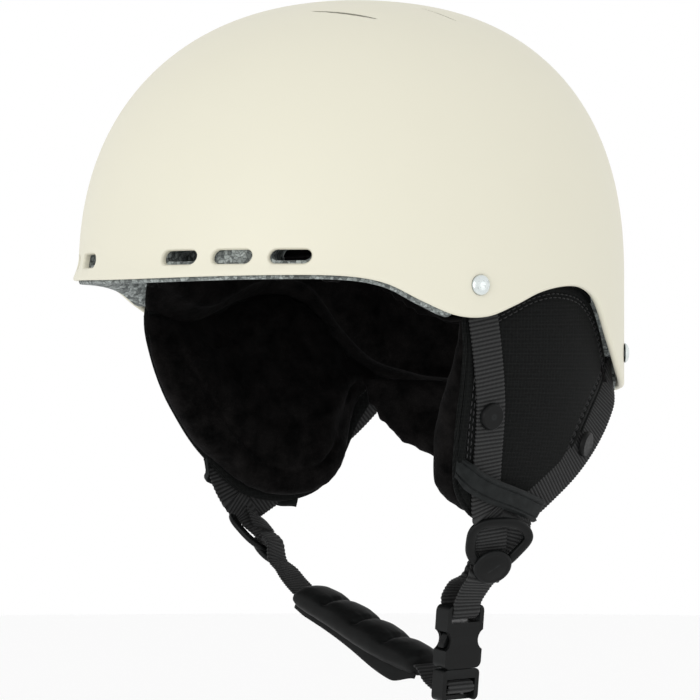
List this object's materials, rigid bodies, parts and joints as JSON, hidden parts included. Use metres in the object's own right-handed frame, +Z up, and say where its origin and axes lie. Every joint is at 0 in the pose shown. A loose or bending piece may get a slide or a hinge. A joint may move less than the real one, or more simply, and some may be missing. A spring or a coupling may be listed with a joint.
{
  "type": "ski helmet",
  "caption": "Ski and snowboard helmet with a matte cream hard shell, fleece ear pads, webbing straps, side-release buckle and padded chin strap.",
  "frame": {"origin": "centre of the head opening at the level of the brow edge of the shell", "axes": "+Z up through the crown, -Y towards the brow (the wearer looks along -Y), +X towards the wearer's left side"},
  "size_m": [0.2304, 0.2763, 0.3227],
  "materials": {
    "shell": "matte",
    "foam": "speckled bead foam",
    "ear_fabric": "woven shell with fleece lining",
    "fleece": "short pile fleece",
    "chin_fabric": "smooth satin",
    "webbing": "ribbed nylon webbing",
    "rubber": "satin",
    "hardware": "satin moulded",
    "steel": "polished"
  },
  "bodies": {
    "helmet": {"shell": "shell", "foam_liner": "foam", "brow_pad": "fleece", "crown_pad": "fleece", "side_pad_left": "fleece", "side_pad_right": "fleece", "rear_pad": "fleece", "nape_pad": "fleece", "rivet_front_left": "steel", "rivet_front_right": "steel", "rivet_rear_left": "steel", "rivet_rear_right": "steel", "washer_front_left": "steel", "washer_front_right": "steel", "washer_rear_left": "steel", "washer_rear_right": "steel", "strap_front_left": "webbing", "strap_front_right": "webbing", "strap_rear_left": "webbing", "strap_rear_right": "webbing", "snap_front_left": "hardware", "snap_front_right": "hardware", "snap_rear_left": "hardware", "snap_rear_right": "hardware", "keeper_left": "rubber", "keeper_right": "rubber", "divider_left": "hardware", "divider_right": "hardware", "divider_button_left": "hardware", "divider_button_right": "hardware", "goggle_base": "hardware", "goggle_stud": "steel"},
    "left_ear_pad": {"ear_pad_left": "ear_fabric"},
    "right_ear_pad": {"ear_pad_right": "ear_fabric"},
    "chin_loop": {"lower_strap_left": "webbing", "lower_loop_left": "webbing", "lower_strap_right": "webbing", "chin_pad": "chin_fabric", "buckle_socket": "hardware"},
    "buckle_half": {"buckle_plug": "hardware", "ladder_web": "webbing", "chin_web": "webbing"},
    "front_prong": {"prong_front": "hardware"},
    "rear_prong": {"prong_rear": "hardware"},
    "goggle_keeper": {"goggle_strap": "rubber"}
  },
  "joints": [
    {"name": "chin_strap_swing", "type": "hinge", "parent": "helmet", "child": "chin_loop", "pos_m": [0, 0.008, -0.132], "axis": [1, 0, 0], "range_deg": [-20, 20]},
    {"name": "buckle_release", "type": "slide", "parent": "chin_loop", "child": "buckle_half", "axis": [-0.1011, 0, -0.9949], "range_m": [0, 0.03], "deforming": ["chin_web", "prong_front", "prong_rear"]},
    {"name": "prong_squeeze_front", "type": "hinge", "parent": "buckle_half", "child": "front_prong", "pos_m": [0.06101, 0.0019, -0.17895], "axis": [0.9949, 0, -0.1011], "range_deg": [0, 8], "stiffness_Nm_per_rad": 0.03},
    {"name": "prong_squeeze_rear", "type": "hinge", "parent": "buckle_half", "child": "rear_prong", "pos_m": [0.06101, 0.0141, -0.17895], "axis": [0.9949, 0, -0.1011], "range_deg": [-8, 0], "stiffness_Nm_per_rad": 0.03},
    {"name": "left_ear_pad_fold", "type": "hinge", "parent": "helmet", "child": "left_ear_pad", "pos_m": [0.107, 0.02, -0.012], "axis": [0, 1, 0], "range_deg": [0, 8]},
    {"name": "right_ear_pad_fold", "type": "hinge", "parent": "helmet", "child": "right_ear_pad", "pos_m": [-0.107, 0.02, -0.012], "axis": [0, 1, 0], "range_deg": [-8, 0]},
    {"name": "goggle_keeper_lift", "type": "hinge", "parent": "helmet", "child": "goggle_keeper", "pos_m": [0, 0.1366, -0.021], "axis": [1, 0, 0], "range_deg": [0, 150]}
  ]
}
